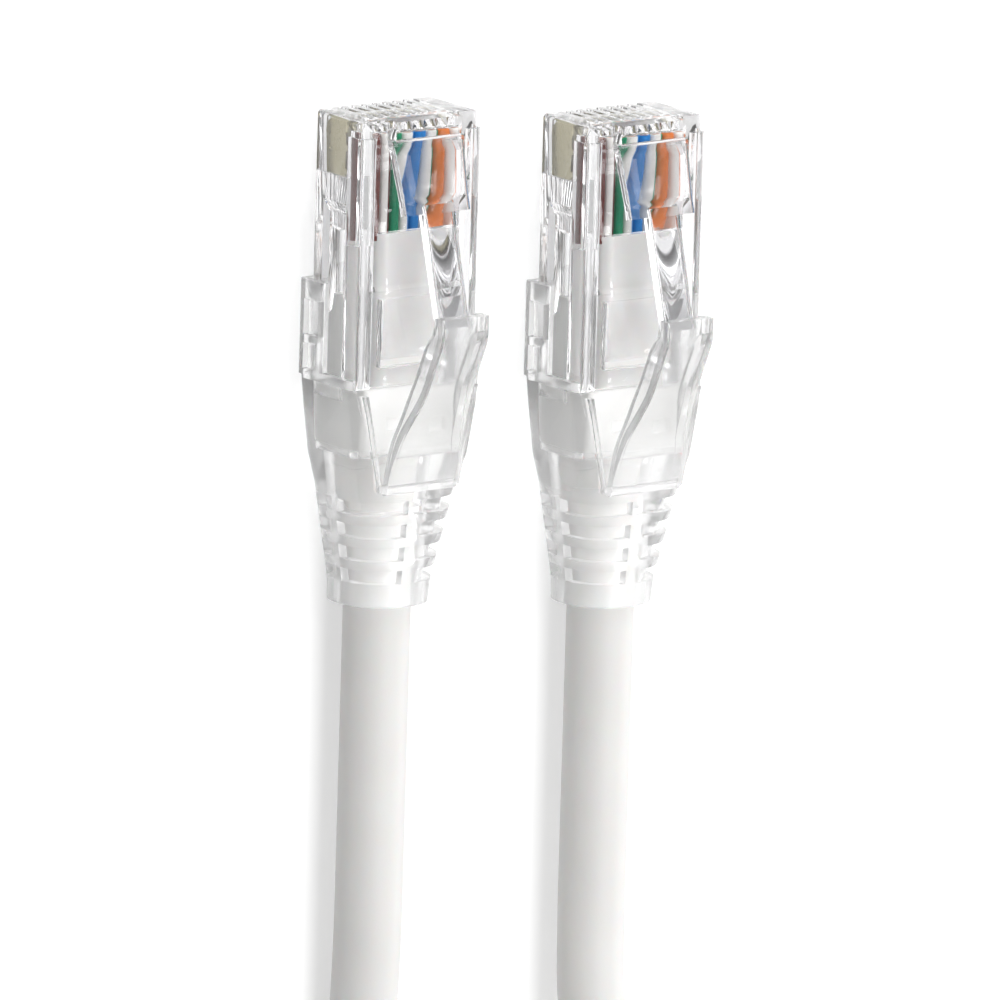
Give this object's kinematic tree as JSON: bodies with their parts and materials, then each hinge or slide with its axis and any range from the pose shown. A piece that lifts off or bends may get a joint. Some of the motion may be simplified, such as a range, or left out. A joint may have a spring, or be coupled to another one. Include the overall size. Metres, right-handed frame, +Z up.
{
  "type": "ethernet patch cable",
  "caption": "Network patch cable with a clear modular plug, sprung latch tab and snagless lever boot at each end of a round white cord.",
  "frame": {"origin": "on the surface that the cable lies on, under the middle of the two plugs' box", "axes": "+Y along both plugs towards their noses, +Z up out of the latch side, +X from the first plug to the second"},
  "size_m": [0.0568, 0.165, 0.0152],
  "materials": {
    "clear_polycarbonate": "glass-clear",
    "clear_pvc": "clear to frosted",
    "gold_contact": "gold plated",
    "copper_core": "bare copper",
    "white_jacket": "smooth satin",
    "white_orange_insulation": "satin",
    "orange_insulation": "satin",
    "white_green_insulation": "satin",
    "blue_insulation": "satin",
    "white_blue_insulation": "satin",
    "green_insulation": "satin",
    "white_brown_insulation": "satin",
    "brown_insulation": "satin"
  },
  "bodies": {
    "cable": {"housing_a": "clear_polycarbonate", "wire_cores_a": "copper_core", "jacket_end_a": "white_jacket", "boot_a": "clear_pvc", "contact_1_a": "gold_contact", "contact_2_a": "gold_contact", "contact_3_a": "gold_contact", "contact_4_a": "gold_contact", "contact_5_a": "gold_contact", "contact_6_a": "gold_contact", "contact_7_a": "gold_contact", "contact_8_a": "gold_contact", "wire_1_a": "white_orange_insulation", "wire_2_a": "orange_insulation", "wire_3_a": "white_green_insulation", "wire_4_a": "blue_insulation", "wire_5_a": "white_blue_insulation", "wire_6_a": "green_insulation", "wire_7_a": "white_brown_insulation", "wire_8_a": "brown_insulation", "housing_b": "clear_polycarbonate", "wire_cores_b": "copper_core", "jacket_end_b": "white_jacket", "boot_b": "clear_pvc", "contact_1_b": "gold_contact", "contact_2_b": "gold_contact", "contact_3_b": "gold_contact", "contact_4_b": "gold_contact", "contact_5_b": "gold_contact", "contact_6_b": "gold_contact", "contact_7_b": "gold_contact", "contact_8_b": "gold_contact", "wire_1_b": "white_orange_insulation", "wire_2_b": "orange_insulation", "wire_3_b": "white_green_insulation", "wire_4_b": "blue_insulation", "wire_5_b": "white_blue_insulation", "wire_6_b": "green_insulation", "wire_7_b": "white_brown_insulation", "wire_8_b": "brown_insulation", "cord_stretch_a": "white_jacket", "cord_stretch_b": "white_jacket", "cord_hank": "white_jacket"},
    "latch_a": {"latch_tab_a": "clear_polycarbonate"},
    "lever_a": {"boot_lever_a": "clear_pvc"},
    "latch_b": {"latch_tab_b": "clear_polycarbonate"},
    "lever_b": {"boot_lever_b": "clear_pvc"}
  },
  "joints": [
    {"name": "lever_a_press", "type": "hinge", "parent": "cable", "child": "lever_a", "pos_m": [-0.0112, -0.0087, 0.00915], "axis": [-1, 0, 0], "range_deg": [0, 12.5], "stiffness_Nm_per_rad": 0.008},
    {"name": "latch_a_press", "type": "hinge", "parent": "cable", "child": "latch_a", "pos_m": [-0.0112, 0.0194, 0.00882], "axis": [1, 0, 0], "range_deg": [0, 11.25], "stiffness_Nm_per_rad": 0.01},
    {"name": "lever_b_press", "type": "hinge", "parent": "cable", "child": "lever_b", "pos_m": [0.0112, -0.0111, 0.00915], "axis": [-1, 0, 0], "range_deg": [0, 12.5], "stiffness_Nm_per_rad": 0.008},
    {"name": "latch_b_press", "type": "hinge", "parent": "cable", "child": "latch_b", "pos_m": [0.0112, 0.017, 0.00882], "axis": [1, 0, 0], "range_deg": [0, 11.25], "stiffness_Nm_per_rad": 0.01}
  ],
  "couplings": [
    {"joint": "latch_a_press", "follows": "lever_a_press", "ratio": 0.9},
    {"joint": "latch_b_press", "follows": "lever_b_press", "ratio": 0.9}
  ]
}
